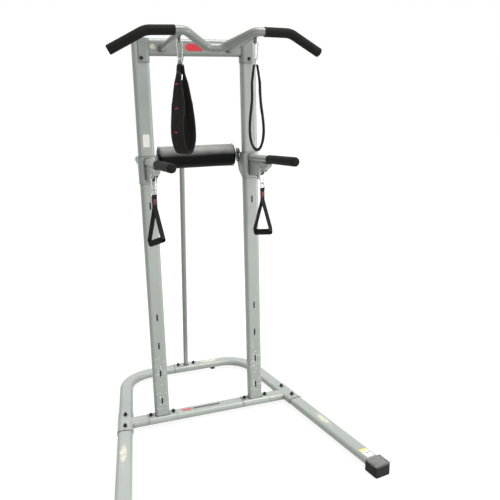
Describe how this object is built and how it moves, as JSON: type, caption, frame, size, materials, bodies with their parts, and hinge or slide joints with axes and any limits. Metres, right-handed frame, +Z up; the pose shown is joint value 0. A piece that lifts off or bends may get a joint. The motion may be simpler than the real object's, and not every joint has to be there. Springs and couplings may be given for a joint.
{
  "type": "power tower",
  "caption": "Free-standing pull-up, dip and knee-raise station: splayed tube base, slotted uprights, bent bar, sliding dip carriage with back roll, arm slings and hand grips.",
  "frame": {"origin": "middle of the footprint, on the floor", "axes": "+X to the right of someone who faces the tower from the front, +Y from the pull-up bar to the rear brace, +Z up"},
  "size_m": [1.34, 1.5447, 2.1055],
  "materials": {
    "frame_paint": "satin silver-grey powder coat",
    "black_fasteners": "black oxide, satin",
    "zinc_steel": "bright zinc plate",
    "foam_grip": "matt closed foam rubber",
    "foot_rubber": "matt moulded rubber",
    "black_plastic": "matt nylon",
    "roll_vinyl": "grained vinyl over foam",
    "sling_fabric": "woven nylon, padded",
    "strap_webbing": "woven webbing"
  },
  "bodies": {
    "tower_frame": {"rear_u_tube": "frame_paint", "leg_left": "frame_paint", "leg_right": "frame_paint", "cross_member": "frame_paint", "upright_left": "frame_paint", "upright_right": "frame_paint", "rear_brace": "frame_paint", "top_crossbeam": "frame_paint", "pull_up_bar": "frame_paint", "foot_cap_left": "foot_rubber", "foot_cap_right": "foot_rubber", "rear_foot_left": "foot_rubber", "rear_foot_right": "foot_rubber", "upright_plug_left": "black_plastic", "upright_plug_right": "black_plastic", "pull_up_grip_left": "foam_grip", "pull_up_grip_right": "foam_grip", "base_bolts": "black_fasteners", "base_washers": "black_fasteners", "base_nuts": "black_fasteners", "crossbeam_bolts": "black_fasteners"},
    "dip_carriage": {"carriage_bracket_left": "frame_paint", "carriage_bracket_right": "frame_paint", "glide_left": "black_plastic", "glide_right": "black_plastic", "guide_bolts": "zinc_steel", "roll_tube": "frame_paint", "roll_bolts": "zinc_steel", "back_roll": "roll_vinyl", "dip_handle_left": "frame_paint", "dip_handle_right": "frame_paint", "dip_grip_left": "foam_grip", "dip_grip_right": "foam_grip", "lock_pins": "zinc_steel"},
    "left_lock": {"lock_left": "frame_paint"},
    "left_roller": {"guide_roller_left": "black_plastic"},
    "left_sling_hook": {"sling_hook_left": "zinc_steel"},
    "left_sling_gate": {"sling_gate_left": "zinc_steel"},
    "left_arm_sling": {"sling_ring_left": "zinc_steel", "sling_left": "sling_fabric", "sling_buckle_left": "zinc_steel"},
    "left_hand_hook": {"hand_hook_left": "zinc_steel"},
    "left_hand_gate": {"hand_gate_left": "zinc_steel"},
    "left_grip_strap": {"hand_ring_left": "zinc_steel", "hand_strap_left": "strap_webbing"},
    "left_grip_tube": {"hand_tube_left": "foam_grip"},
    "right_lock": {"lock_right": "frame_paint"},
    "right_roller": {"guide_roller_right": "black_plastic"},
    "right_sling_hook": {"sling_hook_right": "zinc_steel"},
    "right_sling_gate": {"sling_gate_right": "zinc_steel"},
    "right_arm_sling": {"sling_ring_right": "zinc_steel", "sling_right": "sling_fabric", "sling_buckle_right": "zinc_steel"},
    "right_hand_hook": {"hand_hook_right": "zinc_steel"},
    "right_hand_gate": {"hand_gate_right": "zinc_steel"},
    "right_grip_strap": {"hand_ring_right": "zinc_steel", "hand_strap_right": "strap_webbing"},
    "right_grip_tube": {"hand_tube_right": "foam_grip"}
  },
  "joints": [
    {"name": "carriage_slide", "type": "slide", "parent": "tower_frame", "child": "dip_carriage", "axis": [0, 0, 1], "range_m": [-0.9467, 0]},
    {"name": "left_lock_pivot", "type": "hinge", "parent": "dip_carriage", "child": "left_lock", "pos_m": [-0.2815, 0.07967, 1.465], "axis": [1, 0, 0], "range_deg": [0, 14]},
    {"name": "left_roller_spin", "type": "hinge", "parent": "dip_carriage", "child": "left_roller", "pos_m": [-0.2815, 0.16197, 1.51], "axis": [1, 0, 0], "continuous": true},
    {"name": "left_sling_hook_swing", "type": "hinge", "parent": "tower_frame", "child": "left_sling_hook", "pos_m": [-0.176, -0.29133, 2.04687], "axis": [1, 0, 0], "range_deg": [-40, 40]},
    {"name": "left_sling_gate_hinge", "type": "hinge", "parent": "left_sling_hook", "child": "left_sling_gate", "pos_m": [-0.16631, -0.29133, 1.98562], "axis": [0, -1, 0], "range_deg": [0, 24], "stiffness_Nm_per_rad": 0.02, "springref_deg": -28.65},
    {"name": "left_sling_swing", "type": "hinge", "parent": "left_sling_hook", "child": "left_arm_sling", "pos_m": [-0.176, -0.29133, 1.97342], "axis": [-0.3746, 0.9272, 0], "range_deg": [-25, 25]},
    {"name": "left_hand_hook_swing", "type": "hinge", "parent": "dip_carriage", "child": "left_hand_hook", "pos_m": [-0.292, -0.09933, 1.45243], "axis": [0.766, -0.6428, 0], "range_deg": [-15, 15]},
    {"name": "left_hand_gate_hinge", "type": "hinge", "parent": "left_hand_hook", "child": "left_hand_gate", "pos_m": [-0.28457, -0.10556, 1.39118], "axis": [-0.6428, -0.766, 0], "range_deg": [0, 8], "stiffness_Nm_per_rad": 0.02, "springref_deg": -28.65},
    {"name": "left_grip_strap_swing", "type": "hinge", "parent": "left_hand_hook", "child": "left_grip_strap", "pos_m": [-0.292, -0.09933, 1.37898], "axis": [0.8829, 0.4695, 0], "range_deg": [-20, 17]},
    {"name": "left_grip_tube_spin", "type": "hinge", "parent": "left_grip_strap", "child": "left_grip_tube", "pos_m": [-0.292, -0.09933, 1.12098], "axis": [0.4412, -0.8297, 0.342], "continuous": true},
    {"name": "right_lock_pivot", "type": "hinge", "parent": "dip_carriage", "child": "right_lock", "pos_m": [0.2815, 0.07967, 1.465], "axis": [1, 0, 0], "range_deg": [0, 14]},
    {"name": "right_roller_spin", "type": "hinge", "parent": "dip_carriage", "child": "right_roller", "pos_m": [0.2815, 0.16197, 1.51], "axis": [1, 0, 0], "continuous": true},
    {"name": "right_sling_hook_swing", "type": "hinge", "parent": "tower_frame", "child": "right_sling_hook", "pos_m": [0.176, -0.29133, 2.04687], "axis": [1, 0, 0], "range_deg": [-40, 40]},
    {"name": "right_sling_gate_hinge", "type": "hinge", "parent": "right_sling_hook", "child": "right_sling_gate", "pos_m": [0.18569, -0.29133, 1.98562], "axis": [0, -1, 0], "range_deg": [0, 24], "stiffness_Nm_per_rad": 0.02, "springref_deg": -28.65},
    {"name": "right_sling_swing", "type": "hinge", "parent": "right_sling_hook", "child": "right_arm_sling", "pos_m": [0.176, -0.29133, 1.97342], "axis": [0.3338, 0.9426, 0], "range_deg": [-25, 25]},
    {"name": "right_hand_hook_swing", "type": "hinge", "parent": "dip_carriage", "child": "right_hand_hook", "pos_m": [0.271, -0.09933, 1.45243], "axis": [0.766, -0.6428, 0], "range_deg": [-15, 15]},
    {"name": "right_hand_gate_hinge", "type": "hinge", "parent": "right_hand_hook", "child": "right_hand_gate", "pos_m": [0.27843, -0.10556, 1.39118], "axis": [-0.6428, -0.766, 0], "range_deg": [0, 8], "stiffness_Nm_per_rad": 0.02, "springref_deg": -28.65},
    {"name": "right_grip_strap_swing", "type": "hinge", "parent": "right_hand_hook", "child": "right_grip_strap", "pos_m": [0.271, -0.09933, 1.37898], "axis": [0.8829, 0.4695, 0], "range_deg": [-20, 20]},
    {"name": "right_grip_tube_spin", "type": "hinge", "parent": "right_grip_strap", "child": "right_grip_tube", "pos_m": [0.271, -0.09933, 1.12098], "axis": [0.4649, -0.8744, 0.1392], "continuous": true}
  ],
  "couplings": [
    {"joint": "left_roller_spin", "follows": "carriage_slide", "rad_per_m": 71.429},
    {"joint": "right_roller_spin", "follows": "carriage_slide", "rad_per_m": 71.429}
  ]
}
